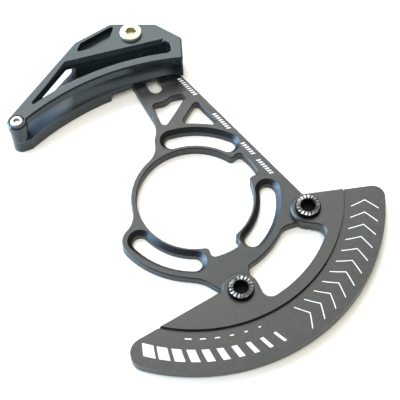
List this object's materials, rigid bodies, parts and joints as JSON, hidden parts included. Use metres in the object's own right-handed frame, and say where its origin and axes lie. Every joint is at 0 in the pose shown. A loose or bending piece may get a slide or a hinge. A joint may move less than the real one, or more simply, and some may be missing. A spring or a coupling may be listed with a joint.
{
  "type": "bicycle chain guide",
  "caption": "Bicycle chain guide: a slotted backplate round the bottom bracket, an upper guide set along its arm over the chain, and a sector-shaped bash guard below.",
  "frame": {"origin": "on the bottom bracket's axis, in the backplate's inboard face", "axes": "+Z outboard along the bottom bracket's axis, +X forward, +Y up"},
  "size_m": [0.1445, 0.1521, 0.0175],
  "materials": {
    "plate": "bead-blasted, dark anodised",
    "guard": "fine grained",
    "guide": "satin",
    "bolts": "black oxide",
    "screws": "bright"
  },
  "bodies": {
    "frame_side": {"backplate": "plate", "bash_guard": "guard", "bash_bolt_front": "bolts", "bash_bolt_lower": "bolts"},
    "upper_guide": {"guide_body": "guide", "guide_cover": "guide", "clamp_screw": "screws", "clamp_nut": "screws", "end_screw": "screws"}
  },
  "joints": [
    {"name": "guide_height", "type": "slide", "parent": "frame_side", "child": "upper_guide", "axis": [-0.4571, 0.8894, 0], "range_m": [-0.018, 0.0015]}
  ]
}
